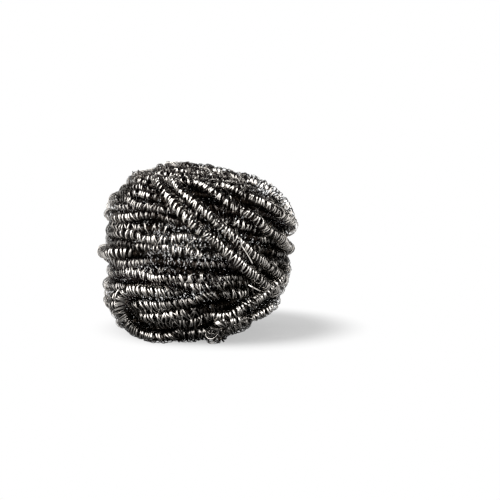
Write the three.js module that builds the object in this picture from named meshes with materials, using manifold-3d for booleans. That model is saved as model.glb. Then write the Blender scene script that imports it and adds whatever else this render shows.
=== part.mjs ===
// A stainless steel scourer: flat wire curled into long springy strands, and the strands wound into one wad.
// Millimetres, +Z up. The winding axis is Z, and the origin is the middle of the flat spot under the wad.
import * as THREE from "three";
import { mergeVertices } from "three/addons/utils/BufferGeometryUtils.js";
import Module from "manifold-3d";

// The wad, over its wound rows
const WAD_DIAMETER = 71;
const WAD_HEIGHT = 62;
// Radius of the rounded shoulders of the bottom and of the top, on the tight side, -X, and the slack one, +X
const LOW_TIGHT_SHOULDER = 14;
const LOW_SLACK_SHOULDER = 29;
const TOP_TIGHT_SHOULDER = 18;
const TOP_SLACK_SHOULDER = 13;
// The slack side has slumped by this share of its height
const SLUMP = 0.115;
// How far the wad is from round, and how many low bulges it has round its side
const OUT_OF_ROUND = 0.8;
const BULGES = 3;

// A strand is a coil of flat wire, drawn here as the round rope that the coil fills
const STRAND_DIAMETER = 4.8;
const STRAND_SIDES = 7;
// A strand is made of straight steps of about this length, and shorter ones where it would bend by more than
// this angle in degrees from step to step
const STRAND_STEP = 11.5;
const STEP_BEND = 32;
// From the middle of one row to the middle of the next
const ROW_SPACING = 4.9;
// A row rises from one side to the other, wanders up and down, and wanders in and out, by these amounts
const ROW_RISE = 0.7;
const ROW_WANDER = 0.5;
const ROW_DEPTH_WANDER = 0.6;
// Each row's wandering is shifted from that of the row below by these angles in radians
const WANDER_SHIFT = 1.3;
const DEPTH_SHIFT = 2.1;
// On the +X side the rows draw together towards one level, to this share of their spacing
const PINCH_LEVEL = 0.42;
const PINCH_SHARE = 0.45;
// A row gives way under a strand that crosses it, by this much and over this distance to each side
const GIVE_DEPTH = 1.6;
const GIVE_WIDTH = 4.6;
// Between the strands the rows lie in hollows of this depth
const HOLLOW_DEPTH = 1.6;
// On each end the strand winds outwards from the middle in a spiral, with this much between its turns
const SPIRAL_TURNS = 4;
const SPIRAL_CLEARANCE = 0.4;

// The packed inside of the wad starts this far below the middle line of the strands
const PACKED_DEPTH = 0.2;
const PACKED_STEPS_ROUND = 18;
const PACKED_STEPS_UP = 12;
// A strand dives into the packed inside over this length, until this much covers its end
const DIVE_LENGTH = 14;
const END_COVER = 1.1;
// The underside is pressed flat by this much where the wad stands
const PRESSED_FLAT = 0.7;
// The tail of the strand is pushed into the middle of each end, and lies deeper in the top one
const TAIL_LENGTH = 12;
const TOP_TAIL_RECESS = 3;

// Sashes are strands that cross the rows aslant, and stand proud of them by their lift, a share of the
// strand's diameter. Angles are in degrees round +Z from +X, so that -90 is the front. Levels are shares of
// the way from the lowest row, 0, to the rim of the top, 1, and on to the middle of the top, 2.
const SASHES = [
  { name: "brow", from: -137, to: -18, start: 1, finish: 0.31, lift: 0.5 },
  { name: "fringe", from: -124, to: -8, start: 1, finish: 0.38, lift: 0.4 },
  { name: "crown", from: -104, to: 8, start: 1, finish: 0.58, lift: 0.3 },
  { name: "temple", from: -82, to: 30, start: 1, finish: 0.72, lift: 0.2 },
  { name: "heel", from: -86, to: -6, start: 0.15, finish: 0.5, lift: 0.4 },
  { name: "hem", from: -92, to: 0, start: 0.04, finish: 0.27, lift: 0.25 },
  { name: "hip", from: -222, to: -128, start: 0.49, finish: 0.54, lift: 0.4 },
  { name: "ear", from: -46, to: 2, start: 1.4, finish: 0.68, lift: 0.4 },
  { name: "nape", from: 30, to: 190, start: 0.9, finish: 0.45, lift: 0.4 },
  { name: "crest", from: 205, to: 75, start: 1.3, finish: 1.05, lift: 0.4 },
  { name: "ridge", from: 125, to: 5, start: 1.1, finish: 1.3, lift: 0.35 },
  { name: "rim", from: -165, to: -50, start: 1.2, finish: 1.35, lift: 0.3 },
];

// Bights are strands that turn back on themselves. Each opens at one angle, turns at another, and spans two
// levels.
const BIGHTS = [
  { name: "low_left", open: -92, turn: -140, upper: 0.33, lower: 0.05, lift: 0.35 },
  { name: "toe", open: -40, turn: -76, upper: 0.17, lower: 0.03, lift: 0.5 },
];

// Hollows between the strands: the angle and the level of the middle, half the width in degrees and half the
// height in millimetres.
const HOLLOWS = [
  { name: "under_rim", angle: -112, level: 0.9, width: 13, height: 3.4 },
  { name: "under_brow", angle: -118, level: 0.77, width: 16, height: 3 },
  { name: "waist", angle: -104, level: 0.53, width: 22, height: 2.6 },
  { name: "right_waist", angle: -60, level: 0.38, width: 20, height: 3 },
  { name: "over_brow", angle: -79, level: 0.9, width: 10, height: 3 },
  { name: "over_fringe", angle: -50, level: 0.7, width: 12, height: 3.4 },
  { name: "in_low_left", angle: -139, level: 0.17, width: 11, height: 3.6 },
  { name: "over_toe", angle: -82, level: 0.22, width: 14, height: 3 },
  { name: "under_crown", angle: -38, level: 0.58, width: 10, height: 3 },
];

const STEEL_COLOUR = 0x8f8d89;
// Vertices closer than this are one vertex
const WELD = 0.001;
// Steps along a route that measure how far it turns
const MEASURE_STEPS = 60;
// Points along a crossing strand that the rows give way to, without those at its ends, which have dived
const CROSSING_STEPS = 40;
const DIVED_STEPS = 4;

const STRAND_RADIUS = STRAND_DIAMETER / 2;
const WOUND_RADIUS = WAD_DIAMETER / 2 - STRAND_RADIUS;
const LOWEST_ROW = STRAND_RADIUS - PRESSED_FLAT;
const HIGHEST_ROW = WAD_HEIGHT - STRAND_RADIUS;
const WOUND_HEIGHT = HIGHEST_ROW - LOWEST_ROW;
const DIVE_DEPTH = STRAND_RADIUS + PACKED_DEPTH + END_COVER;
const SPIRAL_START = STRAND_RADIUS + SPIRAL_CLEARANCE;
const SPIRAL_END = SPIRAL_START + SPIRAL_TURNS * (STRAND_DIAMETER + SPIRAL_CLEARANCE);
const GOLDEN_ANGLE = Math.PI * (3 - Math.sqrt(5));

const { clamp, degToRad, lerp, radToDeg, smoothstep } = THREE.MathUtils;

const wasm = await Module();
wasm.setup();

// The meridian at an angle round the axis: the bottom's flat end, its shoulder, the side, the top's shoulder
// and its flat end.
function meridianAt(theta) {
  const slack = (1 + Math.cos(theta)) / 2;
  const radius = WOUND_RADIUS - (OUT_OF_ROUND * (1 - Math.cos(BULGES * theta + 1))) / 2;
  const widest = Math.min(radius, WOUND_HEIGHT / 2);
  const low = Math.min(lerp(LOW_TIGHT_SHOULDER, LOW_SLACK_SHOULDER, slack), widest);
  const top = Math.min(lerp(TOP_TIGHT_SHOULDER, TOP_SLACK_SHOULDER, slack), widest);
  const side = WOUND_HEIGHT - low - top;
  const length = 2 * radius - low - top + ((low + top) * Math.PI) / 2 + side;
  return { low, lowEnd: radius - low, top, topEnd: radius - top, side, length };
}

// A point of the strands' middle surface: an angle round the axis, a run along the meridian from the bottom
// pole, and how far the point lies inside that surface.
function woundPoint(theta, run, sunk) {
  const { low, lowEnd, top, topEnd, side, length } = meridianAt(theta);
  const upper = run > lowEnd + (low * Math.PI) / 2 + side / 2;
  const fromPole = upper ? length - run : run;
  const end = upper ? topEnd : lowEnd;
  const shoulder = upper ? top : low;
  const turned = clamp((fromPole - end) / shoulder, 0, Math.PI / 2);
  const straight = Math.max(fromPole - end - (shoulder * Math.PI) / 2, 0);
  const across = Math.min(fromPole, end) + (shoulder - sunk) * Math.sin(turned);
  const inwards = shoulder - (shoulder - sunk) * Math.cos(turned) + straight;
  const height = upper ? HIGHEST_ROW - inwards : LOWEST_ROW + inwards;
  const slumped = (SLUMP * ((1 + Math.cos(theta)) / 2) ** 2 * across) / WOUND_RADIUS;
  return new THREE.Vector3(across * Math.cos(theta), across * Math.sin(theta), height * (1 - slumped));
}

// The run along the meridian that reaches a level.
function runToLevel(theta, level) {
  const { low, lowEnd, top, topEnd, length } = meridianAt(theta);
  const height = clamp(level, 0, 1) * WOUND_HEIGHT;
  const depth = WOUND_HEIGHT - height;
  if (depth < top) {
    return length - topEnd * Math.min(2 - level, 1) - top * Math.acos(1 - depth / top);
  }
  return lowEnd + low * Math.acos(1 - Math.min(height / low, 1)) + Math.max(height - low, 0);
}

// How far a strand has dived at a share of its way, from 0 on the wad to 1 at its two ends.
function divedAt(way, length) {
  const fromEnd = Math.min(way, 1 - way) * length;
  return 1 - smoothstep(fromEnd, 0, DIVE_LENGTH);
}

// A strand's route is a function from a share of its way, 0 to 1, to a point.
class StrandRoute extends THREE.Curve {
  constructor(pointAt) {
    super();
    this.pointAt = pointAt;
  }
  getPoint(way, target = new THREE.Vector3()) {
    return target.copy(this.pointAt(way));
  }
}

// How deep the hollows are at an angle and a run along the meridian.
function hollowAt(theta, run) {
  const depths = HOLLOWS.map(({ angle, level, width, height }) => {
    const middle = degToRad(angle);
    const aside = Math.atan2(Math.sin(theta - middle), Math.cos(theta - middle)) / degToRad(width);
    const above = (run - runToLevel(middle, level)) / height;
    return HOLLOW_DEPTH * Math.exp(-(aside ** 2) - above ** 2);
  });
  return Math.max(...depths);
}

// How far a row gives way at a point, under the strands that pass these crossing points.
function giveAt(point, crossings) {
  const nearest = Math.min(...crossings.map((crossing) => crossing.distanceTo(point)));
  return GIVE_DEPTH * Math.exp(-((nearest / GIVE_WIDTH) ** 2));
}

// A row goes once round the wad, at a share of the way from pole to pole. The rows draw together on the
// +X side.
function rowRoute(row, share, crossings) {
  const onSide = Math.sin(Math.PI * share) ** 2;
  return new StrandRoute((way) => {
    const theta = 2 * Math.PI * way;
    const pinch = (1 - PINCH_SHARE) * onSide * ((1 + Math.cos(theta)) / 2) ** 2;
    const level = lerp(share * meridianAt(theta).length, runToLevel(theta, PINCH_LEVEL), pinch);
    const rise = ROW_RISE * Math.sin(theta + row * GOLDEN_ANGLE);
    const wander = ROW_WANDER * Math.sin(2 * theta + WANDER_SHIFT * row);
    const depth = ROW_DEPTH_WANDER * (1 + Math.sin(3 * theta + DEPTH_SHIFT * row));
    const run = level + rise + wander;
    const give = giveAt(woundPoint(theta, run, 0), crossings);
    return woundPoint(theta, run, Math.max(depth, give, hollowAt(theta, run)));
  });
}

// The spiral on an end winds outwards from the middle of the end, and dives under the first row.
function spiralRoute(upper) {
  const sweep = 2 * Math.PI * SPIRAL_TURNS;
  const length = (sweep * (SPIRAL_START + SPIRAL_END)) / 2;
  return new StrandRoute((way) => {
    const theta = sweep * way;
    const fromPole = lerp(SPIRAL_START, SPIRAL_END, way);
    const run = upper ? meridianAt(theta).length - fromPole : fromPole;
    return woundPoint(theta, run, way < 0.5 ? 0 : DIVE_DEPTH * divedAt(way, length));
  });
}

// A strand over the rows, at an angle and a level for each share of its way.
function overRoute(length, lift, angleAt, levelAt) {
  return new StrandRoute((way) => {
    const theta = degToRad(angleAt(way));
    const sunk = lerp(-lift * STRAND_DIAMETER, DIVE_DEPTH, divedAt(way, length));
    return woundPoint(theta, runToLevel(theta, levelAt(way)), sunk);
  });
}

function sashRoute({ from, to, start, finish, lift }) {
  const angleAt = (way) => lerp(from, to, way);
  const levelAt = (way) => lerp(start, finish, smoothstep(way, 0, 1));
  const length = Math.hypot(degToRad(to - from) * WOUND_RADIUS, (finish - start) * WOUND_HEIGHT);
  return overRoute(length, lift, angleAt, levelAt);
}

// A bight runs to its turn, goes round half a circle and comes back.
function bightRoute({ open, turn, upper, lower, lift }) {
  const bend = ((upper - lower) * WOUND_HEIGHT) / 2;
  const leg = degToRad(Math.abs(turn - open)) * WOUND_RADIUS - bend;
  const hairpin = new THREE.Path().moveTo(0, bend).lineTo(leg, bend);
  hairpin.absarc(leg, 0, bend, Math.PI / 2, -Math.PI / 2, true).lineTo(0, -bend);
  const angleAt = (way) => lerp(open, turn, hairpin.getPointAt(way).x / (leg + bend));
  const levelAt = (way) => (upper + lower) / 2 + hairpin.getPointAt(way).y / WOUND_HEIGHT;
  return overRoute(hairpin.getLength(), lift, angleAt, levelAt);
}

// A closed geometry as a solid that can be joined and cut.
function solidFrom(geometry) {
  const bare = geometry.clone();
  bare.deleteAttribute("normal");
  bare.deleteAttribute("uv");
  const merged = mergeVertices(bare, WELD);
  const vertProperties = new Float32Array(merged.attributes.position.array);
  const triVerts = new Uint32Array(merged.index.array);
  return new wasm.Manifold(new wasm.Mesh({ numProp: 3, vertProperties, triVerts }));
}

function geometryFrom(solid) {
  const mesh = solid.getMesh();
  const geometry = new THREE.BufferGeometry();
  geometry.setAttribute("position", new THREE.BufferAttribute(mesh.vertProperties, mesh.numProp));
  geometry.setIndex(new THREE.BufferAttribute(mesh.triVerts, 1));
  geometry.computeVertexNormals();
  return geometry;
}

// The angle that a route turns through from its one end to its other, in degrees.
function turnOf(route) {
  const points = route.getSpacedPoints(MEASURE_STEPS);
  const headings = points.slice(1).map((point, i) => point.clone().sub(points[i]));
  const turns = headings.slice(1).map((heading, i) => heading.angleTo(headings[i]));
  return radToDeg(turns.reduce((sum, turn) => sum + turn, 0));
}

function stepsOf(route) {
  return Math.ceil(Math.max(route.getLength() / STRAND_STEP, turnOf(route) / STEP_BEND));
}

// The rope that a coiled strand fills, swept along a route with two ends.
function strandSolid(route) {
  const round = new THREE.EllipseCurve(0, 0, STRAND_RADIUS, STRAND_RADIUS);
  const section = new THREE.Shape(round.getPoints(STRAND_SIDES).slice(1));
  return solidFrom(new THREE.ExtrudeGeometry(section, { steps: stepsOf(route), extrudePath: route }));
}

// The same rope on a route that closes on itself.
function ringSolid(route) {
  return solidFrom(new THREE.TubeGeometry(route, stepsOf(route), STRAND_RADIUS, STRAND_SIDES, true));
}

// The packed inside of the wad: a sphere's vertices, each moved to its own place under the strands.
function packedInside() {
  const geometry = new THREE.SphereGeometry(1, PACKED_STEPS_ROUND, PACKED_STEPS_UP);
  const position = geometry.attributes.position;
  const vertex = new THREE.Vector3();
  for (let i = 0; i < position.count; i++) {
    vertex.fromBufferAttribute(position, i);
    const theta = Math.atan2(-vertex.z, vertex.x);
    const fromBottom = Math.acos(clamp(-vertex.y, -1, 1)) / Math.PI;
    const place = woundPoint(theta, fromBottom * meridianAt(theta).length, PACKED_DEPTH);
    position.setXYZ(i, place.x, place.y, place.z);
  }
  return solidFrom(geometry);
}

// A tail of the strand, pushed straight into the middle of an end.
function tailSolid(low) {
  const tail = new THREE.CylinderGeometry(STRAND_RADIUS, STRAND_RADIUS, TAIL_LENGTH, STRAND_SIDES);
  tail.rotateX(Math.PI / 2).translate(0, 0, low + TAIL_LENGTH / 2);
  return solidFrom(tail);
}

// The surface that the wad stands on, as a block that takes off what is pressed flat.
function groundBlock() {
  const block = new THREE.BoxGeometry(2 * WAD_DIAMETER, 2 * WAD_DIAMETER, WAD_DIAMETER);
  return solidFrom(block.translate(0, 0, -WAD_DIAMETER / 2));
}

// The body inside the outermost surface, with the closed pockets between strands filled.
function outerBody(solid) {
  const shells = solidFrom(geometryFrom(solid)).decompose();
  return shells.reduce((outer, shell) => (shell.volume() > outer.volume() ? shell : outer));
}

// The rows lie evenly along the meridian, from the end of one spiral to the end of the other.
function rowRoutes(crossings) {
  const { length } = meridianAt(Math.PI / 2);
  const rows = Math.round((length - 2 * SPIRAL_END) / ROW_SPACING) + 1;
  const shareOf = (row) => lerp(SPIRAL_END, length - SPIRAL_END, row / (rows - 1)) / length;
  return Array.from({ length: rows }, (_, row) => rowRoute(row, shareOf(row), crossings));
}

function wadSolid() {
  const overRoutes = [...SASHES.map(sashRoute), ...BIGHTS.map(bightRoute)];
  const openRoutes = [spiralRoute(false), spiralRoute(true), ...overRoutes];
  const crossings = overRoutes.flatMap((route) => {
    return route.getSpacedPoints(CROSSING_STEPS).slice(DIVED_STEPS, -DIVED_STEPS);
  });
  const tails = [tailSolid(0), tailSolid(WAD_HEIGHT - TOP_TAIL_RECESS - TAIL_LENGTH)];
  const pieces = [...rowRoutes(crossings).map(ringSolid), ...openRoutes.map(strandSolid), ...tails];
  const wad = pieces.reduce((joined, piece) => joined.add(piece), packedInside());
  return outerBody(wad.subtract(groundBlock()));
}

const scourer = new THREE.Mesh(
  geometryFrom(wadSolid()),
  new THREE.MeshStandardMaterial({ color: STEEL_COLOUR, metalness: 1, roughness: 0.3 }),
);
scourer.name = "wound_steel_wad";

const part = new THREE.Group();
part.add(scourer);

export default part;
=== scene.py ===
# %% [markdown]
# A stainless steel scourer
#
# The object is a squat wad of flat steel wire. The wire is first curled into a long springy
# coil, called a strand here, and the strand is then wound round and round into the wad. The
# solid part that comes from CAD shows each strand as a plain rope. In this lesson every rope
# becomes what it really is: a coil of thin flat wire.

# %% Load the solid part
import math

import bmesh
import bpy
import numpy as np
from mathutils import Matrix, Vector


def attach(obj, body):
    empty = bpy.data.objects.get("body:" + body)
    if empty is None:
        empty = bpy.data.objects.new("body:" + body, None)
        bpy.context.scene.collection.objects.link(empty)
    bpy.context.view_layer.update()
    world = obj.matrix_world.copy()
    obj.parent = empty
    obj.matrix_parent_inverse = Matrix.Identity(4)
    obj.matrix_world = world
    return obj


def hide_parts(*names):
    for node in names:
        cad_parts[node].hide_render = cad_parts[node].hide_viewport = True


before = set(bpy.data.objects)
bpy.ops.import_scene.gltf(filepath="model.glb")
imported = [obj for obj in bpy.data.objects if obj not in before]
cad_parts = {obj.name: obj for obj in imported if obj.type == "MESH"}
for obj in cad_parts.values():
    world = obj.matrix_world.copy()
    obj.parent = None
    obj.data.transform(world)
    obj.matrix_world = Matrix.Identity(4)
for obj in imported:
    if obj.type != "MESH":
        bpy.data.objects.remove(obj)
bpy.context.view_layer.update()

MM = 1000


# %% [markdown]
# The shape that the strands lie on
#
# A wad like this is neither a ball nor a drum. It has flat ends, rounded shoulders and a
# straight side, and one side is slacker than the other and has slumped. We could sculpt it, but
# a strand has to follow it from pole to pole, so a formula serves better: an angle round the
# axis and a run along the outline give a point and the direction that faces outwards there. The
# run starts in the middle of the bottom and ends in the middle of the top.

# %% Sizes of the wad, in metres
WAD_DIAMETER = 0.071
WAD_HEIGHT = 0.062
STRAND_DIAMETER = 0.0048
# How much the lowest strands are flattened where the wad stands
PRESSED_FLAT = 0.0007
# How round the bottom and the top are, on the tight side and on the slack one
LOW_TIGHT_SHOULDER = 0.014
LOW_SLACK_SHOULDER = 0.029
TOP_TIGHT_SHOULDER = 0.018
TOP_SLACK_SHOULDER = 0.013
# The share of its height that the slack side has lost
SLUMP = 0.115
# How deep the side dips between its lobes, how many lobes it has, and their turn in radians
OUT_OF_ROUND = 0.0008
LOBES = 3
LOBE_TURN = 1

STRAND_RADIUS = STRAND_DIAMETER / 2
WOUND_RADIUS = WAD_DIAMETER / 2 - STRAND_RADIUS
LOWEST_ROW = STRAND_RADIUS - PRESSED_FLAT
HIGHEST_ROW = WAD_HEIGHT - STRAND_RADIUS
WOUND_HEIGHT = HIGHEST_ROW - LOWEST_ROW
wound_size = round(2 * WOUND_RADIUS * MM, 1), round(WOUND_HEIGHT * MM, 1)
print("the strands' middles lie on a wad of", wound_size, "mm")


# %% Outline of the wad
def lerp(a, b, t):
    return a + (b - a) * t


def slack_at(theta):
    """How slack the winding is at an angle: 0 on the tight side and 1 on the slack one."""
    return (1 + np.cos(theta)) / 2


def outline_at(theta):
    """The flat end and the shoulder of the bottom, those of the top, and the whole run."""
    slack = slack_at(theta)
    radius = WOUND_RADIUS - OUT_OF_ROUND * (1 - np.cos(LOBES * theta + LOBE_TURN)) / 2
    low = lerp(LOW_TIGHT_SHOULDER, LOW_SLACK_SHOULDER, slack)
    top = lerp(TOP_TIGHT_SHOULDER, TOP_SLACK_SHOULDER, slack)
    length = 2 * radius + WOUND_HEIGHT + (np.pi / 2 - 2) * (low + top)
    return radius - low, low, radius - top, top, length


slack_run, tight_run = outline_at(np.array([0, np.pi]))[-1] * MM
print("the outline runs", round(slack_run, 1), "mm on the slack side")
print("and", round(tight_run, 1), "mm on the tight side")


# %% Points of the wad
def on_wad(theta, run, sunk):
    """Points, their outward directions and their depths, for angles, runs and depths."""
    low_end, low, top_end, top, length = outline_at(theta)
    upper = run > low_end + low * np.pi / 2 + (WOUND_HEIGHT - low - top) / 2
    from_pole = np.where(upper, length - run, run)
    end = np.where(upper, top_end, low_end)
    shoulder = np.where(upper, top, low)
    turned = np.clip((from_pole - end) / shoulder, 0, np.pi / 2)
    straight = np.maximum(from_pole - end - shoulder * np.pi / 2, 0)
    across = np.minimum(from_pole, end) + (shoulder - sunk) * np.sin(turned)
    inwards = shoulder - (shoulder - sunk) * np.cos(turned) + straight
    height = np.where(upper, HIGHEST_ROW - inwards, LOWEST_ROW + inwards)
    height = height * (1 - SLUMP * slack_at(theta) ** 2 * across / WOUND_RADIUS)
    points = np.stack([across * np.cos(theta), across * np.sin(theta), height], axis=-1)
    up = np.where(upper, 1, -1) * np.cos(turned)
    level_out = np.sin(turned)
    outward = np.stack([level_out * np.cos(theta), level_out * np.sin(theta), up], axis=-1)
    return points, outward, np.broadcast_to(sunk, theta.shape)


def run_to_level(theta, level):
    """The run to a level: 0 is the lowest row, 1 the rim of the top and 2 its middle."""
    low_end, low, top_end, top, length = outline_at(theta)
    height = np.clip(level, 0, 1) * WOUND_HEIGHT
    below_top = WOUND_HEIGHT - height
    low_bend = low * np.arccos(1 - np.minimum(height / low, 1))
    top_bend = top * np.arccos(1 - np.minimum(below_top / top, 1))
    from_bottom = low_end + low_bend + np.maximum(height - low, 0)
    from_top = top_end * np.minimum(2 - level, 1) + top_bend + np.maximum(below_top - top, 0)
    return np.where(height > WOUND_HEIGHT - top, length - from_top, from_bottom)


rim_run = run_to_level(np.array(np.pi), 1)
print("the rim of the top is", round(float(rim_run) * MM, 1), "mm up the tight side")

# %% [markdown]
# The routes of the strands
#
# The routes are the same as in the solid part, so the coils come out where the ropes were.
# There are five kinds. A row goes once round. A spiral starts in the middle of an end, where a
# tail goes straight into the wad. A sash crosses the rows aslant. A bight runs out, turns round
# half a circle and comes back. Curve objects with a bevel could draw them, but a coil has to
# know which way is out at every step. So a route is sampled as many close points, with the
# outward direction at each.
#
# A sash or a bight lies on top of the rows. At its two ends it dives between them, because a
# real strand comes from inside the wad and goes back into it.

# %% Spirals
SPIRAL_TURNS = 4
SPIRAL_CLEARANCE = 0.0004
SPIRAL_START = STRAND_RADIUS + SPIRAL_CLEARANCE
SPIRAL_END = SPIRAL_START + SPIRAL_TURNS * (STRAND_DIAMETER + SPIRAL_CLEARANCE)
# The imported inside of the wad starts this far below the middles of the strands
PACKED_DEPTH = 0.0002
# A strand dives into it over this length, until this much covers its end
DIVE_LENGTH = 0.014
END_COVER = 0.0011
DIVE_DEPTH = STRAND_RADIUS + PACKED_DEPTH + END_COVER

ROUTE_POINTS = 600
WAY = np.linspace(0, 1, ROUTE_POINTS)


def smooth_step(t):
    t = np.clip(t, 0, 1)
    return t * t * (3 - 2 * t)


def dived(length):
    """How far a strand of a length has dived along its way: 1 at its two ends."""
    return 1 - smooth_step(np.minimum(WAY, 1 - WAY) * length / DIVE_LENGTH)


def spiral_route(upper, sunk=0.0, shift=0.0):
    """A spiral on the top or the bottom, of which only the outer end dives."""
    sweep = 2 * np.pi * SPIRAL_TURNS
    theta = sweep * WAY + shift
    from_pole = lerp(SPIRAL_START, SPIRAL_END, WAY)
    run = outline_at(theta)[-1] - from_pole if upper else from_pole
    dive = np.where(WAY < 0.5, 0, dived(sweep * (SPIRAL_START + SPIRAL_END) / 2))
    return on_wad(theta, run, DIVE_DEPTH * dive + sunk)


spiral_routes = [spiral_route(False), spiral_route(True)]
print("spirals:", len(spiral_routes), "each", round(SPIRAL_END * MM, 1), "mm from the middle out")

# %% Tails
TAIL_LENGTH = 0.012
TOP_TAIL_RECESS = 0.003


def tail_route(low, high):
    """A tail of the strand that goes straight down in the middle of an end."""
    on_axis = np.zeros_like(WAY)
    points = np.stack([on_axis, on_axis, lerp(high, low, WAY)], axis=-1)
    outward = np.broadcast_to((1.0, 0.0, 0.0), points.shape)
    return points, outward, np.full_like(WAY, STRAND_RADIUS)


tail_top = WAD_HEIGHT - TOP_TAIL_RECESS
spiral_routes += [tail_route(0.0, TAIL_LENGTH), tail_route(tail_top - TAIL_LENGTH, tail_top)]
print("spirals and tails:", len(spiral_routes))

# %% Sashes and bights
# Angles are in degrees round the axis, and -90 is the front. Levels are as in run_to_level, and
# lifts are shares of the strand's diameter.
SASHES = [
    {"from": -137, "to": -18, "start": 1, "finish": 0.31, "lift": 0.5},
    {"from": -124, "to": -8, "start": 1, "finish": 0.38, "lift": 0.4},
    {"from": -104, "to": 8, "start": 1, "finish": 0.58, "lift": 0.3},
    {"from": -82, "to": 30, "start": 1, "finish": 0.72, "lift": 0.2},
    {"from": -86, "to": -6, "start": 0.15, "finish": 0.5, "lift": 0.4},
    {"from": -92, "to": 0, "start": 0.04, "finish": 0.27, "lift": 0.25},
    {"from": -222, "to": -128, "start": 0.49, "finish": 0.54, "lift": 0.4},
    {"from": -46, "to": 2, "start": 1.4, "finish": 0.68, "lift": 0.4},
    {"from": 30, "to": 190, "start": 0.9, "finish": 0.45, "lift": 0.4},
    {"from": 205, "to": 75, "start": 1.3, "finish": 1.05, "lift": 0.4},
    {"from": 125, "to": 5, "start": 1.1, "finish": 1.3, "lift": 0.35},
    {"from": -165, "to": -50, "start": 1.2, "finish": 1.35, "lift": 0.3},
]
BIGHTS = [
    {"open": -92, "turn": -140, "upper": 0.33, "lower": 0.05, "lift": 0.35},
    {"open": -40, "turn": -76, "upper": 0.17, "lower": 0.03, "lift": 0.5},
]


def over_route(degrees, level, length, lift):
    """A strand that lies over the rows and dives at both ends."""
    theta = np.radians(degrees)
    sunk = lerp(-lift * STRAND_DIAMETER, DIVE_DEPTH, dived(length))
    return on_wad(theta, run_to_level(theta, level), sunk)


def sash_route(sash):
    degrees = lerp(sash["from"], sash["to"], WAY)
    level = lerp(sash["start"], sash["finish"], smooth_step(WAY))
    round_wad = math.radians(sash["to"] - sash["from"]) * WOUND_RADIUS
    length = math.hypot(round_wad, (sash["finish"] - sash["start"]) * WOUND_HEIGHT)
    return over_route(degrees, level, length, sash["lift"])


def bight_route(bight):
    bend = (bight["upper"] - bight["lower"]) * WOUND_HEIGHT / 2
    leg = math.radians(abs(bight["turn"] - bight["open"])) * WOUND_RADIUS - bend
    length = 2 * leg + math.pi * bend
    travelled = WAY * length
    turned = np.clip((travelled - leg) / bend, 0, np.pi)
    on_leg = np.minimum(np.minimum(travelled, length - travelled), leg)
    reach = on_leg + bend * np.sin(turned)
    degrees = lerp(bight["open"], bight["turn"], reach / (leg + bend))
    level = (bight["upper"] + bight["lower"]) / 2 + bend * np.cos(turned) / WOUND_HEIGHT
    return over_route(degrees, level, length, bight["lift"])


over_routes = [sash_route(sash) for sash in SASHES] + [bight_route(bight) for bight in BIGHTS]
print("strands over the rows:", len(over_routes))

# %% [markdown]
# Rows that wander, dip and give way
#
# Hand-fed winding is never even. Each row wanders up and down and in and out by a millimetre or
# so, and on the slack side the rows draw together. Where the winding left a hollow, the rows
# lie deeper, and under a strand that crosses them they give way. These dips are what makes the
# dark lines and pits between the strands, so they are worth more than any texture. Each is a
# smooth bump in the depth, and the deeper of the two counts where they meet.

# %% Hollows
# The angle in degrees, the level, the half widths in degrees and metres, and the depth
HOLLOWS = [
    (-112, 0.90, 13, 0.0034, 0.0030),
    (-118, 0.77, 16, 0.0030, 0.0018),
    (-104, 0.505, 22, 0.0022, 0.0030),
    (-60, 0.38, 20, 0.0030, 0.0026),
    (-79, 0.90, 10, 0.0030, 0.0028),
    (-50, 0.70, 12, 0.0034, 0.0030),
    (-139, 0.17, 11, 0.0036, 0.0036),
    (-82, 0.22, 14, 0.0030, 0.0020),
    (-38, 0.58, 10, 0.0030, 0.0026),
]


def hollow_at(theta, run):
    """How much deeper than the wad's surface the rows lie."""
    depth = np.zeros_like(theta)
    for degrees, level, wide, high, deep in HOLLOWS:
        centre = math.radians(degrees)
        aside = (theta - centre + np.pi) % (2 * np.pi) - np.pi
        above = run - run_to_level(centre, level)
        depth += deep * np.exp(-((aside / math.radians(wide)) ** 2) - (above / high) ** 2)
    return depth


print("hollows:", len(HOLLOWS))

# %% Where the rows give way
GIVE_DEPTH = 0.0022
GIVE_WIDTH = 0.0046
# The dived ends of a crossing strand push nothing in, and every fourth point of the rest will do
DIVED_POINTS = 60
POINT_STEP = 4
crossing_points = np.concatenate([
    points[DIVED_POINTS:-DIVED_POINTS:POINT_STEP] for points, _, _ in over_routes
])


def give_at(points):
    """How far the rows are pushed in by the strands that cross them."""
    gaps = np.linalg.norm(points[:, None] - crossing_points[None], axis=2).min(axis=1)
    return GIVE_DEPTH * np.exp(-((gaps / GIVE_WIDTH) ** 2))


print("points of crossing strands:", len(crossing_points))

# %% Rows
ROW_SPACING = 0.0049
# How far a row wanders up and down, in one wave round the wad, in two and in short ones
ROW_RISE = 0.0007
ROW_WANDER = 0.0005
SHORT_WANDER = 0.0004
# How far it wanders in and out
ROW_DEPTH_WANDER = 0.0006
# How many waves each wander has round the wad, and how much its phase moves on with each row
GOLDEN_ANGLE = math.pi * (3 - math.sqrt(5))
RISE_WAVES = 1, GOLDEN_ANGLE
WANDER_WAVES = 2, 1.3
SHORT_WAVES = (5, 2.7), (8, 4.1)
DEPTH_WAVES = 3, 2.1
# The level at which the rows of the slack side draw together, and the share of their spacing left
PINCH_LEVEL = 0.42
PINCH_SHARE = 0.45


def waves_round(theta, row, count, phase):
    return np.sin(count * theta + phase * row)


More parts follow.
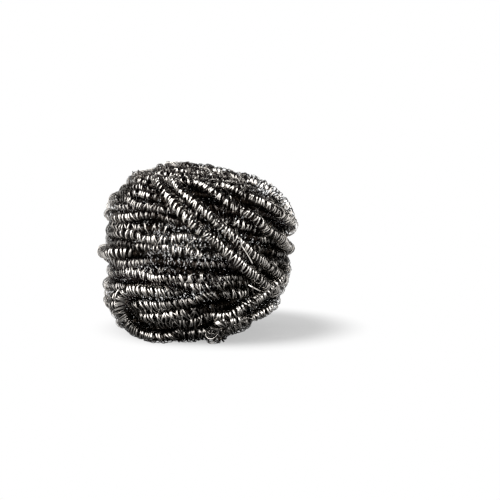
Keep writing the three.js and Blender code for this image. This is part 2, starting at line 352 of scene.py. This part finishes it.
def row_route(row, share, sunk=(0.0, 0.0), rise=ROW_RISE, depth_wander=ROW_DEPTH_WANDER):
    """A row at a share of the outline, sunk by depths for the tight and the slack side."""
    theta = 2 * np.pi * WAY
    slack = slack_at(theta)
    on_side = math.sin(math.pi * share) ** 2
    pinch = (1 - PINCH_SHARE) * on_side * slack ** 2
    run = lerp(share * outline_at(theta)[-1], run_to_level(theta, PINCH_LEVEL), pinch)
    run = run + rise * waves_round(theta, row, *RISE_WAVES)
    run = run + ROW_WANDER * waves_round(theta, row, *WANDER_WAVES)
    run = run + SHORT_WANDER * sum(waves_round(theta, row, *waves) for waves in SHORT_WAVES)
    depth = depth_wander * (1 + waves_round(theta, row, *DEPTH_WAVES))
    dip = np.maximum(hollow_at(theta, run), give_at(on_wad(theta, run, 0.0)[0]))
    return on_wad(theta, run, depth + dip + lerp(*sunk, slack))


side_length = float(outline_at(np.array(np.pi / 2))[-1])
row_count = round((side_length - 2 * SPIRAL_END) / ROW_SPACING) + 1
row_shares = np.linspace(SPIRAL_END, side_length - SPIRAL_END, row_count) / side_length
row_routes = [row_route(row, share) for row, share in enumerate(row_shares)]
print("rows:", row_count)

# %% [markdown]
# Curling the flat wire
#
# A coil is a small rectangle, the cut end of the wire, carried round an axis and moved along it
# a little at each step. The spin operator does that when it is given an offset. Spinning
# thousands of steps is slow, and all turns of a straight coil are alike, so one turn is spun
# and an Array modifier repeats it, merging where the turns meet. The two open ends are then
# filled and the faces turned outwards.

# %% One turn of wire
WIRE_WIDTH = 0.00031
WIRE_THICKNESS = 0.00012
WIRE_SIDES = 4
# Four corners at this distance from the middle make a square with sides of 1
SQUARE_CORNER = math.sqrt(0.5)


def wire_end(bm, turn_about, section):
    """The cut end of the wire: a square, stood up about an axis and scaled to a section."""
    bmesh.ops.create_circle(bm, cap_ends=False, radius=SQUARE_CORNER, segments=WIRE_SIDES)
    for angle, axis in (math.pi / 4, "Z"), (math.pi / 2, turn_about):
        turn = Matrix.Rotation(angle, 3, axis)
        bmesh.ops.rotate(bm, verts=bm.verts, cent=(0, 0, 0), matrix=turn)
    bmesh.ops.scale(bm, verts=bm.verts, vec=section)


def spin_wire(bm, middle, axis, angle, steps, rise=0.0):
    """Carries the cut end round an axis, and along it by a rise at each step."""
    bmesh.ops.spin(
        bm, geom=bm.verts[:] + bm.edges[:], cent=middle, axis=axis, dvec=Vector(axis) * rise,
        angle=angle, steps=steps, use_merge=False, use_duplicate=False,
    )


def mesh_from(bm, name):
    """A mesh made from a bmesh, which is then freed."""
    mesh = bpy.data.meshes.new(name)
    bm.to_mesh(mesh)
    bm.free()
    return mesh


def one_turn(pitch, steps, radius):
    """One turn of flat wire round the Z axis, open at both ends."""
    bm = bmesh.new()
    wire_end(bm, "X", (WIRE_THICKNESS, 1, WIRE_WIDTH))
    bmesh.ops.translate(bm, verts=bm.verts, vec=(radius, 0, 0))
    spin_wire(bm, (0, 0, 0), (0, 0, 1), 2 * math.pi, steps, pitch / steps)
    return mesh_from(bm, "turn")


print("the wire is", round(WIRE_WIDTH * MM, 2), "by", round(WIRE_THICKNESS * MM, 2), "mm")

# %% A straight coil
COIL_PITCH = 0.00102
COIL_RADIUS = STRAND_RADIUS - WIRE_THICKNESS / 2
OUTER_STEPS = 12
# Points of two turns that lie closer than this become one
MERGE_WITHIN = WIRE_THICKNESS / 20
TRIAL_TURNS = 3


def in_scene(name, data):
    """An object made from its data and put in the scene."""
    thing = bpy.data.objects.new(name, data)
    bpy.context.scene.collection.objects.link(thing)
    return thing


def close_wire(bm):
    """Fills the two cut ends of a wire and turns its faces outwards."""
    cut_edges = [edge for edge in bm.edges if edge.is_boundary]
    bmesh.ops.holes_fill(bm, edges=cut_edges, sides=WIRE_SIDES)
    bmesh.ops.recalc_face_normals(bm, faces=bm.faces)


def straight_coil(turns, pitch, steps, radius):
    """A closed coil of flat wire round the Z axis, and how many of its edges are open."""
    turn = in_scene("turn", one_turn(pitch, steps, radius))
    repeat = turn.modifiers.new("turns", "ARRAY")
    repeat.count = turns
    repeat.use_relative_offset = False
    repeat.use_constant_offset = True
    repeat.constant_offset_displace = (0, 0, pitch)
    repeat.use_merge_vertices = True
    repeat.merge_threshold = MERGE_WITHIN
    bm = bmesh.new()
    bm.from_object(turn, bpy.context.evaluated_depsgraph_get())
    close_wire(bm)
    mesh = turn.data
    bpy.data.objects.remove(turn)
    bm.to_mesh(mesh)
    open_edges = sum(1 for edge in bm.edges if len(edge.link_faces) != 2)
    bm.free()
    return mesh, open_edges


trial, open_edges = straight_coil(TRIAL_TURNS, COIL_PITCH, OUTER_STEPS, COIL_RADIUS)
print("a coil of", TRIAL_TURNS, "turns has", len(trial.polygons), "faces")
print("and", open_edges, "open edges")
bpy.data.meshes.remove(trial)

# %% [markdown]
# Loosening a coil
#
# A real strand has been pulled and packed, and a coil as even as a machine's looks false. A
# Displace modifier with a texture could ruffle it, but it would push the two edges of the
# ribbon different ways. Slow and quick ripples along the length work on whole turns instead:
# they bunch them, swell them, lean them aside and tip them over. Each strand also has a lean
# and a width of its own, and the turns are looser on the slack side.

# %% Ripples
# The shortest and the longest wave of each kind
SLOW_RIPPLE = (0.007, 0.032)
QUICK_RIPPLE = (0.002, 0.0035)
RIPPLE_SINES = 4
SEED = 20
rng = np.random.default_rng(SEED)


def ripples(between, along):
    """A wave of about -1 to 1 along a length, from sines of lengths between two values."""
    waves = rng.uniform(*between, RIPPLE_SINES)
    phases = rng.uniform(0, 2 * np.pi, RIPPLE_SINES)
    sines = [np.sin(2 * np.pi * along / w + p) for w, p in zip(waves, phases)]
    return sum(sines) / math.sqrt(RIPPLE_SINES)


def slow_and_quick(slow, quick, along):
    """Slow and quick ripples together, each with its own strength."""
    return slow * ripples(SLOW_RIPPLE, along) + quick * ripples(QUICK_RIPPLE, along)


print("the shortest ripple is", round(QUICK_RIPPLE[0] / COIL_PITCH, 1), "turns long")

# %% Loosen a coil
# How loose the turns are, and by how much more on the slack side or less on the tight one
LOOSENESS = 1.05
SLACK_LOOSENESS = 0.2
# What each strand's own lean and width lie between
OWN_LEAN = (-0.15, 0.35)
OWN_WIDTH = (0.78, 0.95)
# How much slow and quick ripples swell the turns, lean them and tip them
SWELL = (0.08, 0.08)
LEAN = (0.22, 0.32)
TIP = (0.2, 0.42)
# How far slow ripples bunch the turns along the strand and push them aside
BUNCH = 0.0005
DRIFT = 0.0003


def loosened(along, loose):
    """How the turns swell, lean, tip, bunch and drift at lengths along a coil."""
    own_lean = rng.uniform(*OWN_LEAN)
    own_width = rng.uniform(*OWN_WIDTH)
    swell = own_width + loose * slow_and_quick(*SWELL, along)
    lean = own_lean + loose * slow_and_quick(*LEAN, along)
    tip = loose * slow_and_quick(*TIP, along)
    bunch = BUNCH * loose * ripples(SLOW_RIPPLE, along)
    drift = DRIFT * loose * ripples(SLOW_RIPPLE, along)
    return swell, lean, tip, bunch, drift


widths = [round(2 * COIL_RADIUS * width * MM, 1) for width in OWN_WIDTH]
print("the strands are about", widths[0], "to", widths[1], "mm wide")

# %% [markdown]
# Painted shade on the wire
#
# In studio light the outer half of each turn is bright and the wire behind it is nearly black,
# because it mirrors only other wire. A few light bounces can't show that in so fine a tangle,
# and a texture would not know what lies behind. So shade is painted into the colour: each point
# of a coil keeps how much shade is painted on it. The inner face of the ribbon is painted dark,
# and all wire is painted darker with its depth in the wad. Close to the table the wire would
# mirror its own shadow, so a painted shadow darkens it there too.

# %% Paint shade on the wire
# The wire is bright down to the first of these depths, and painted fully shaded from the second
BRIGHT_DEPTH = -0.0019
FULL_SHADE_DEPTH = 0.0010
# Painted contact shadow: on the table the wire counts this much deeper, and less so up to this
# height
FOOT_SHADE = 0.0045
FOOT_HEIGHT = 0.006


def painted_shade_at(depth, height, inner_face, least_painted_shade):
    """How much shade is painted on points for their depths and heights, from 0, bright, to 1."""
    depth = depth + FOOT_SHADE * (1 - smooth_step(height / FOOT_HEIGHT))
    deep = smooth_step((depth - BRIGHT_DEPTH) / (FULL_SHADE_DEPTH - BRIGHT_DEPTH))
    return np.maximum(np.maximum(deep, inner_face), least_painted_shade)


def add_wire(piece, mesh, painted_shade):
    """Adds a wire to a piece, with the shade painted on each of its points."""
    mesh.attributes.new("painted_shade", "FLOAT", "POINT").data.foreach_set("value", painted_shade)
    piece.from_mesh(mesh)
    bpy.data.meshes.remove(mesh)


# How far below the strands' outside the wire is painted half shaded
half_shade_depth = (BRIGHT_DEPTH + FULL_SHADE_DEPTH) / 2 + STRAND_RADIUS
print("wire is half dull", round(half_shade_depth * MM, 1), "mm below the strands' outside")

# %% [markdown]
# Bending a coil along its route
#
# A Curve modifier could bend the coil, but it knows neither which way is out of the wad nor how
# deep each point comes to lie. Here the coil's length is laid along the route, and its width
# along the outward direction and the direction across. The ripples move the middle of the wire,
# and each point keeps its place across the ribbon. Wire that would come out below the table is
# pressed against it.


# %% Directions along a route
def frames_along(route):
    """Lengths along a route, and the points, outward and sideways ways and depths there."""
    points, outward, sunk = route
    steps = np.linalg.norm(np.diff(points, axis=0), axis=1)
    lengths = np.concatenate([[0], np.cumsum(steps)])
    heading = np.gradient(points, axis=0)
    heading /= np.linalg.norm(heading, axis=1, keepdims=True)
    outward = outward - heading * np.sum(outward * heading, axis=1, keepdims=True)
    outward /= np.linalg.norm(outward, axis=1, keepdims=True)
    return lengths, points, outward, np.cross(heading, outward), sunk


first_row = frames_along(row_routes[0])[0][-1]
print("the first row is", round(first_row * MM), "mm long")

# %% Bend a coil
# Below this height the wire is pressed against what the wad stands on
PRESS = 0.0004
# A route whose ends lie closer than this is a ring
RING_WITHIN = 1e-6
LEAST_TURNS = 2


def bent_coil(piece, route, steps, radius=COIL_RADIUS, pitch=COIL_PITCH, unruly=1.0,
              least_painted_shade=0.0):
    """Adds a coil along a route to a piece."""
    lengths, points, outward, sideways, sunk = frames_along(route)
    turns = max(LEAST_TURNS, round(lengths[-1] / pitch))
    mesh, _ = straight_coil(turns, pitch, steps, radius)
    flat = np.empty(len(mesh.vertices) * 3)
    mesh.vertices.foreach_get("co", flat)
    x, y, z = flat.reshape(-1, 3).T
    turned = np.arctan2(y, x) / (2 * np.pi)
    middle = pitch * (np.round(z / pitch - turned) + turned)
    along = middle * lengths[-1] / (turns * pitch)

    looseness = LOOSENESS + SLACK_LOOSENESS * points[:, 0] / WOUND_RADIUS
    loose = unruly * np.interp(along, lengths, looseness)
    swell, lean, tip, bunch, drift = loosened(along, loose)
    place = along + bunch + (lean * y + tip * x) * swell + z - middle
    ring = np.linalg.norm(points[0] - points[-1]) < RING_WITHIN
    place = place % lengths[-1] if ring else np.clip(place, 0, lengths[-1])

    def at(table):
        return np.stack([np.interp(place, lengths, column) for column in table.T], axis=-1)

    out, aside = x * swell, y * swell + drift
    bent = at(points) + at(outward) * out[:, None] + at(sideways) * aside[:, None]
    low = bent[:, 2] < PRESS
    bent[low, 2] = PRESS * np.exp(bent[low, 2] / PRESS - 1)
    mesh.vertices.foreach_set("co", bent.ravel())
    depth = np.interp(place, lengths, sunk) - out
    # Shade is painted by depth, on the inner face of the ribbon and near the table
    add_wire(piece, mesh, painted_shade_at(depth, bent[:, 2], np.hypot(x, y) < radius, least_painted_shade))
    return turns


print("the first row takes", round(first_row / COIL_PITCH), "turns")

# %% [markdown]
# The bright wire
#
# Stainless wire is a metal with little colour of its own: what shows is what it mirrors. A
# plain metal shader would do for a mirror, but rolling leaves wire bright and not perfect. So a
# fine noise varies its gloss, and a slow one warms it here and there, as drawn steel does. The
# painted shade that each coil carries then mixes it down to a brown-black, where in the real
# wad the wire would see only wire and lie in shade.

# %% Steel colour
BRIGHT_STEEL = (0.67, 0.633, 0.589, 1), (0.90, 0.852, 0.792, 1)
# Painted shade: the brown-black that the wire is mixed down to where shade is painted
SHADED_STEEL = (0.016, 0.012, 0.009, 1)
# Between which values of its noise the bright steel goes from the first colour to the second
TINT_SPAN = 0.35, 0.65
# The scale and the detail of a noise
TINT_NOISE = 160, 3


def noise_at(nodes, links, where, scale, detail):
    noise = nodes.new("ShaderNodeTexNoise")
    noise.inputs["Scale"].default_value = scale
    noise.inputs["Detail"].default_value = detail
    links.new(where.outputs["Object"], noise.inputs["Vector"])
    return noise.outputs["Fac"]


def steel_colour(nodes, links, where):
    """The colour of the wire, bright where no shade is painted on it."""
    tint = nodes.new("ShaderNodeValToRGB")
    for element, position, colour in zip(tint.color_ramp.elements, TINT_SPAN, BRIGHT_STEEL):
        element.position = position
        element.color = colour
    links.new(noise_at(nodes, links, where, *TINT_NOISE), tint.inputs["Fac"])
    # Mixes the steel down to the painted shade that each point carries
    painted_shade = nodes.new("ShaderNodeAttribute")
    painted_shade.attribute_name = "painted_shade"
    shaded = nodes.new("ShaderNodeMix")
    shaded.data_type = "RGBA"
    shaded.inputs["B"].default_value = SHADED_STEEL
    links.new(tint.outputs["Color"], shaded.inputs["A"])
    links.new(painted_shade.outputs["Fac"], shaded.inputs["Factor"])
    return shaded.outputs["Result"]


print("bright steel mirrors", BRIGHT_STEEL[0][0], "to", BRIGHT_STEEL[1][0], "of the red light")

# %% Steel material
GLOSS = 0.09, 0.22
GLOSS_NOISE = 1800, 2


def steel_material():
    material = bpy.data.materials.new("bright_steel_wire")
    material.use_nodes = True
    nodes, links = material.node_tree.nodes, material.node_tree.links
    shader = nodes["Principled BSDF"]
    shader.inputs["Metallic"].default_value = 1.0
    where = nodes.new("ShaderNodeTexCoord")
    links.new(steel_colour(nodes, links, where), shader.inputs["Base Color"])
    gloss = nodes.new("ShaderNodeMapRange")
    gloss.inputs["To Min"].default_value = GLOSS[0]
    gloss.inputs["To Max"].default_value = GLOSS[1]
    links.new(noise_at(nodes, links, where, *GLOSS_NOISE), gloss.inputs["Value"])
    links.new(gloss.outputs["Result"], shader.inputs["Roughness"])
    return material


steel = steel_material()
print("steel has", len(steel.node_tree.nodes), "nodes")

# %% [markdown]
# Winding the outer strands
#
# Each coil is added to a bmesh, and a handful of coils make one piece, so that no piece grows
# too heavy. A coil of flat wire has soft curves round it and sharp edges along it, so the faces
# are smooth and edges over 60 degrees are marked sharp. Together the pieces stand for the one
# solid wad, which is hidden once they are wound.

# %% A piece of wound wire
SHARP_ABOVE = math.radians(60)


def wound_piece(name, wires):
    """One piece from wires, each a function that adds itself to a bmesh and counts its turns."""
    bm = bmesh.new()
    turns = sum(wire(bm) for wire in wires)
    mesh = mesh_from(bm, name)
    mesh.polygons.foreach_set("use_smooth", np.ones(len(mesh.polygons), dtype=bool))
    mesh.set_sharp_from_angle(angle=SHARP_ABOVE)
    mesh.materials.append(steel)
    piece = in_scene(name, mesh)
    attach(piece, "root")
    triangles = sum(len(face.vertices) - 2 for face in mesh.polygons)
    print(name, "has", round(turns), "turns and", triangles, "triangles")
    return piece


def coils_on(routes, steps, **habits):
    """For each route, a function that adds its coil to a bmesh."""
    return [lambda bm, route=route: bent_coil(bm, route, steps, **habits) for route in routes]


print("edges over", round(math.degrees(SHARP_ABOVE)), "degrees stay sharp")

# %% Wind the outer strands
# A strand that crosses the rows was pulled tighter, so its turns are closer and calmer
CROSSING = {"pitch": 0.0009, "unruly": 0.85}

third = row_count // 3
lower_rows = wound_piece("lower_rows", coils_on(row_routes[:third], OUTER_STEPS))
wound_piece("middle_rows", coils_on(row_routes[third:-third], OUTER_STEPS))
wound_piece("upper_rows", coils_on(row_routes[-third:], OUTER_STEPS))
wound_piece("end_spirals", coils_on(spiral_routes, OUTER_STEPS))
wound_piece("crossing_strands", coils_on(over_routes, OUTER_STEPS, **CROSSING))
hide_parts("wound_steel_wad")

# %% [markdown]
# The wire below
#
# A coil is open, so we see through it to the wire that was wound before it. A dark ball inside
# would do from afar, but close up it would show as a skin. So there is more wire: a second
# layer that comes up between the rows, wire caught inside the strands, and a third layer deep
# in the wad. They are seen only in glimpses, so they have fewer steps to a turn, wider turns
# and more disorder.

# %% Wind the second layer
INNER_STEPS = 8
SECOND = {"radius": 0.0020, "pitch": 0.0014, "unruly": 1.3}
# How deep it lies on the tight side and on the slack one, and how far it wanders in and out
SECOND_SUNK = (0.0002, 0.0018)
SECOND_DEPTH_WANDER = 0.0012

between = (row_shares[1:] + row_shares[:-1]) / 2
second_routes = [
    row_route(row + 0.5, share, SECOND_SUNK, depth_wander=SECOND_DEPTH_WANDER)
    for row, share in enumerate(between)
]
wound_piece("second_layer", coils_on(second_routes, INNER_STEPS, **SECOND))

# %% Wind the wire inside the strands
# Wire inside the strands has at least this much shade painted on it, so it is nearly black
CAUGHT = {"radius": 0.0017, "pitch": 0.0011, "unruly": 1.2, "least_painted_shade": 0.9}

wound_piece("wire_in_rows", coils_on(row_routes, INNER_STEPS, **CAUGHT))
wound_piece("wire_in_others", coils_on(spiral_routes + over_routes, INNER_STEPS, **CAUGHT))

# %% Wind the third layer
DEEP = {"pitch": 0.0019, "unruly": 1.5}
DEEP_SUNK = (0.0070, 0.0075)
DEEP_RISE = 0.004
# The shares of the outline that its first and last rows lie at
DEEP_SHARES = 0.1, 0.9
# Two neighbours in it wander as differently as outer rows that are this many apart
DEEP_ROW_STEP = 7
DEEP_SPIRAL_SUNK = 0.003

deep_routes = [
    row_route(DEEP_ROW_STEP * row, share, DEEP_SUNK, DEEP_RISE)
    for row, share in enumerate(np.linspace(*DEEP_SHARES, row_count))
]
deep_routes += [spiral_route(upper, DEEP_SPIRAL_SUNK, np.pi) for upper in (False, True)]
wound_piece("third_layer", coils_on(deep_routes, INNER_STEPS, **DEEP))

# %% [markdown]
# Loose wires and knots
#
# Here and there a turn has sprung out of its coil and lies over the strands as an open arc, and
# on the top, the shoulder and the foot a few loops are knotted together. They break the
# outline, which is what the eye checks first. A curve with a round bevel could draw them, but
# this wire is flat. So an arc is the same cut end of wire, spun through part of a circle, then
# laid on the wad with one matrix.

# %% An arc of loose wire
STRAY_STEPS = 14


def place_on_wad(theta, level, lift, tilt):
    """A matrix that lays a thing on the wad: its Z axis points out, and it is tilted about it."""
    angle = np.array(theta)
    point, outward, _ = on_wad(angle, run_to_level(angle, level), -lift)
    out = Vector(outward)
    level_way = Vector((-math.sin(theta), math.cos(theta), 0))
    way = level_way * math.cos(tilt) + out.cross(level_way) * math.sin(tilt)
    place = Matrix((way, out.cross(way), out)).transposed().to_4x4()
    place.translation = point
    return place


def stray_wire(piece, theta, level, lift, tilt, radius, sweep, painted_shade=0.0):
    """Adds an arc of wire that has sprung out of its coil and lies over the strands."""
    bm = bmesh.new()
    wire_end(bm, "Y", (1, WIRE_WIDTH, WIRE_THICKNESS))
    middle = Vector((0, 0, -radius))
    half_back = Matrix.Rotation(-sweep / 2, 3, "Y")
    bmesh.ops.rotate(bm, verts=bm.verts, cent=middle, matrix=half_back)
    spin_wire(bm, middle, (0, 1, 0), sweep, STRAY_STEPS)
    close_wire(bm)
    bmesh.ops.transform(bm, matrix=place_on_wad(theta, level, lift, tilt), verts=bm.verts)
    mesh = mesh_from(bm, "stray")
    # Every point of the arc gets the same painted shade
    add_wire(piece, mesh, np.full(len(mesh.vertices), painted_shade))
    return sweep / (2 * math.pi)


print("an arc has", STRAY_STEPS, "steps")

# %% Arcs that stand out, and knots
# Two arcs: the angle in degrees, the level, the lift, the tilt in degrees, the radius, the sweep
STANDING_OUT = [
    (-61, 0.6, 0.0054, -56, 0.02, 0.4),
    (-12, 0.98, 0.0044, 50, 0.0022, 3.6),
]
# The angle in degrees and the level of each knot
KNOTS = [
    (142, 1.12), (112, 1.3), (72, 1.25), (22, 1.02), (-150, 0.99), (-128, 1.04), (-66, 0.11),
    (-96, 1.14), (-52, 1.1),
]
KNOT_LOOPS = 16
# How far a loop lies from its knot's middle, and what its lift, radius and sweep lie between
KNOT_DEGREES = (-3, 3)
KNOT_LEVELS = (-0.05, 0.05)
KNOT_LIFT = (0.0029, 0.0041)
KNOT_RADIUS = (0.0010, 0.0018)
KNOT_SWEEP = (3.0, 4.2)
# How much shade is painted on the loops of knots
KNOT_PAINTED_SHADE = 0.85

strays = [
    (math.radians(degrees), level, lift, math.radians(tilt), radius, sweep)
    for degrees, level, lift, tilt, radius, sweep in STANDING_OUT
]
for degrees, level in KNOTS:
    for _ in range(KNOT_LOOPS):
        strays.append((
            math.radians(degrees + rng.uniform(*KNOT_DEGREES)),
            level + rng.uniform(*KNOT_LEVELS), rng.uniform(*KNOT_LIFT), rng.uniform(0, math.pi),
            rng.uniform(*KNOT_RADIUS), rng.uniform(*KNOT_SWEEP), KNOT_PAINTED_SHADE,
        ))
print("arcs and loops of knots:", len(strays))

# %% Lay the loose wires
STRAY_COUNT = 24
STRAY_LEVELS = (0.06, 1.2)
STRAY_LIFT = (0.0020, 0.0030)
STRAY_RADIUS = (0.002, 0.004)
STRAY_SWEEP = (0.8, 2.2)

for _ in range(STRAY_COUNT):
    strays.append((
        rng.uniform(-math.pi, math.pi), rng.uniform(*STRAY_LEVELS), rng.uniform(*STRAY_LIFT),
        rng.uniform(0, math.pi), rng.uniform(*STRAY_RADIUS), rng.uniform(*STRAY_SWEEP),
    ))
wound_piece("stray_wires", [lambda bm, stray=stray: stray_wire(bm, *stray) for stray in strays])

# %% [markdown]
# The floor
#
# The wad stands on a white table that runs into a white background, with a soft shadow beside
# it. Lighting a floor until it is white would also burn out the steel. So for the rays that
# come from the camera the floor fades from its own shaded grey, close to the wad, to a glow of
# exactly white. The fade is centred behind and to the right, where the shadow falls.
#
# Polished metal mirrors the floor as well, and that gives the lower half of each turn its
# light. For mirrored rays the floor is a glow with a painted shadow: nearly dark under the wad
# and white further out, so the foot of the wad stays dark.

# %% How white the floor is
# How far from its middle a fade starts and ends, and how white the floor is before it
SEEN_FADE = 0.03, 0.055, 0.45
# For mirrored rays the dark start of this fade is a painted shadow under the wad
MIRRORED_FADE = 0.022, 0.115, 0.08


def larger(nodes, links, first, second):
    node = nodes.new("ShaderNodeMath")
    node.operation = "MAXIMUM"
    links.new(first, node.inputs[0])
    links.new(second, node.inputs[1])
    return node.outputs["Value"]


def whiter_away(nodes, links, where, centre, fade, sees):
    """For marked rays, how white the floor is: more so with the distance from a centre."""
    away = nodes.new("ShaderNodeVectorMath")
    away.operation = "DISTANCE"
    away.inputs[1].default_value = centre
    links.new(where.outputs["Object"], away.inputs[0])
    reach = nodes.new("ShaderNodeMapRange")
    reach.interpolation_type = "SMOOTHSTEP"
    for socket, value in zip(("From Min", "From Max", "To Min"), fade):
        reach.inputs[socket].default_value = value
    links.new(away.outputs["Value"], reach.inputs["Value"])
    share = nodes.new("ShaderNodeMath")
    share.operation = "MULTIPLY"
    links.new(reach.outputs["Result"], share.inputs[0])
    links.new(sees, share.inputs[1])
    return share.outputs["Value"]


print("the floor is white from", round(SEEN_FADE[1] * MM), "mm round the shadow's middle")

# %% Floor material
FLOOR_GREY = (0.5, 0.5, 0.5, 1)
FLOOR_ROUGHNESS = 0.9
FLOOR_SPECULAR = 0.1
WAD_MIDDLE = (0, 0, 0)
SHADOW_MIDDLE = (0.012, 0.018, 0)


def floor_material():
    material = bpy.data.materials.new("pale_floor")
    material.use_nodes = True
    nodes, links = material.node_tree.nodes, material.node_tree.links
    shader = nodes["Principled BSDF"]
    shader.inputs["Base Color"].default_value = FLOOR_GREY
    shader.inputs["Roughness"].default_value = FLOOR_ROUGHNESS
    shader.inputs["Specular IOR Level"].default_value = FLOOR_SPECULAR
    where = nodes.new("ShaderNodeTexCoord")
    rays = nodes.new("ShaderNodeLightPath").outputs
    camera_ray = rays["Is Camera Ray"]
    mirrored_ray = larger(nodes, links, rays["Is Glossy Ray"], rays["Is Transmission Ray"])
    seen = whiter_away(nodes, links, where, SHADOW_MIDDLE, SEEN_FADE, camera_ray)
    mirrored = whiter_away(nodes, links, where, WAD_MIDDLE, MIRRORED_FADE, mirrored_ray)
    white = nodes.new("ShaderNodeEmission")
    links.new(larger(nodes, links, camera_ray, mirrored), white.inputs["Strength"])
    mixed = nodes.new("ShaderNodeMixShader")
    links.new(larger(nodes, links, seen, mirrored_ray), mixed.inputs["Fac"])
    links.new(shader.outputs["BSDF"], mixed.inputs[1])
    links.new(white.outputs["Emission"], mixed.inputs[2])
    links.new(mixed.outputs["Shader"], nodes["Material Output"].inputs["Surface"])
    return material


pale_floor = floor_material()
print("floor has", len(pale_floor.node_tree.nodes), "nodes")

# %% Lay the floor
FLOOR_HALF = 6

bm = bmesh.new()
bmesh.ops.create_grid(bm, x_segments=1, y_segments=1, size=FLOOR_HALF)
floor = in_scene("floor", mesh_from(bm, "floor"))
floor.data.materials.append(pale_floor)
print("floor", 2 * FLOOR_HALF, "m wide")

# %% [markdown]
# The world
#
# The background is white to the camera. An image of a studio could be what the steel mirrors,
# but a few greys do as well and need no file. To the steel the world is bright only behind the
# wad and a little to the left, and dark elsewhere, like a dim studio with one pale wall. The
# dark part matters as much as the lamps do, because bright metal gets its contrast from the
# black that it mirrors. For all other rays the world is a weak grey fill.

# %% The room that the steel mirrors
# Which way the pale wall is
WALL = (-0.33, 1, 0)
# How bright the room is, from square to the wall, at 0, to the wall's middle, at 1
ROOM = [(0.0, 0.03), (0.5, 0.05), (0.95, 0.08), (1.0, 0.7)]

world = bpy.data.worlds.new("studio")
bpy.context.scene.world = world
world.use_nodes = True
nodes, links = world.node_tree.nodes, world.node_tree.links
direction = nodes.new("ShaderNodeTexCoord")
facing = nodes.new("ShaderNodeVectorMath")
facing.operation = "DOT_PRODUCT"
facing.inputs[1].default_value = Vector(WALL).normalized()
links.new(direction.outputs["Generated"], facing.inputs[0])
room = nodes.new("ShaderNodeValToRGB")
room.color_ramp.interpolation = "EASE"
for position, _ in ROOM[1:-1]:
    room.color_ramp.elements.new(position)
for element, (_, grey) in zip(room.color_ramp.elements, ROOM):
    element.color = (grey, grey, grey, 1)
links.new(facing.outputs["Value"], room.inputs["Fac"])
print("the mirrored room has", len(room.color_ramp.elements), "greys")

# %% World
FILL_GREY = (0.15, 0.15, 0.15, 1)
WHITE = (1, 1, 1, 1)

rays = nodes.new("ShaderNodeLightPath").outputs
mirrored_ray = larger(nodes, links, rays["Is Glossy Ray"], rays["Is Transmission Ray"])
mirrored = nodes.new("ShaderNodeMix")
mirrored.data_type = "RGBA"
mirrored.inputs["A"].default_value = FILL_GREY
links.new(room.outputs["Color"], mirrored.inputs["B"])
links.new(mirrored_ray, mirrored.inputs["Factor"])
seen = nodes.new("ShaderNodeMix")
seen.data_type = "RGBA"
seen.inputs["B"].default_value = WHITE
links.new(mirrored.outputs["Result"], seen.inputs["A"])
links.new(rays["Is Camera Ray"], seen.inputs["Factor"])
links.new(seen.outputs["Result"], nodes["Background"].inputs["Color"])
print("world has", len(nodes), "nodes")

# %% [markdown]
# The lamps
#
# Every turn of wire is a small bent mirror, so how large a lamp looks counts for more than how
# strong it is. A small lamp would leave dots. A large softbox above the camera draws a short
# bright line on the upper half of each turn, and one on each side does the same for the turns
# that face left and right. The left one is the strongest, so the shadow falls to the right.
# Together they light a plain surface about as brightly as its own colour.

# %% Lamps
LAMP_AIM = Vector((0, 0, 0.03))
LAMP_DISTANCE = 0.85
# Degrees to the right of the camera and above the floor, width, height and radiance
SOFTBOXES = {
    "front_softbox": (-16, 31, 1.00, 0.85, 2.7),
    "left_softbox": (-78, 26, 1.20, 0.90, 3.5),
    "right_softbox": (70, 18, 0.70, 0.48, 3.4),
}


def softbox(name, azimuth, elevation, wide, tall, radiance):
    """A softbox that faces the wad, as bright as wanted."""
    across, up = math.radians(azimuth), math.radians(elevation)
    level = math.cos(up)
    towards = Vector((level * math.sin(across), -level * math.cos(across), math.sin(up)))
    lamp = bpy.data.lights.new(name, "AREA")
    lamp.shape = "RECTANGLE"
    lamp.size = wide
    lamp.size_y = tall
    lamp.energy = math.pi * wide * tall * radiance
    holder = in_scene(name, lamp)
    holder.location = LAMP_AIM + LAMP_DISTANCE * towards
    holder.rotation_euler = (-towards).to_track_quat("-Z", "Y").to_euler()
    print(name, "gives", round(lamp.energy, 1), "W")


for name, values in SOFTBOXES.items():
    softbox(name, *values)

# %% [markdown]
# The camera
#
# A long lens from half a metre keeps the wad's sides nearly parallel, as a close product
# picture does. The camera looks down only a little, so the top shows as a thin sliver. It
# stands to the right of the wad's axis, which puts the wad left of the middle.

# %% Camera
LENS_MM = 100
SENSOR_MM = 36
VIEW_HEIGHT = 0.0315
VIEW_SHIFT = 0.0193
VIEW_DISTANCE = 0.51
VIEW_ELEVATION = math.radians(6.5)
IMAGE_WIDTH = 500

camera = bpy.data.cameras.new("camera")
camera.lens = LENS_MM
camera.sensor_width = SENSOR_MM
viewer = in_scene("camera", camera)
back = VIEW_DISTANCE * math.cos(VIEW_ELEVATION)
up = VIEW_DISTANCE * math.sin(VIEW_ELEVATION)
viewer.location = (VIEW_SHIFT, -back, VIEW_HEIGHT + up)
viewer.rotation_euler = (math.pi / 2 - VIEW_ELEVATION, 0, 0)
bpy.context.scene.camera = viewer
bpy.context.scene.view_settings.view_transform = "Standard"
pixel = VIEW_DISTANCE * SENSOR_MM / LENS_MM / IMAGE_WIDTH
print("one pixel covers", round(pixel * MM, 2), "mm of the wad")
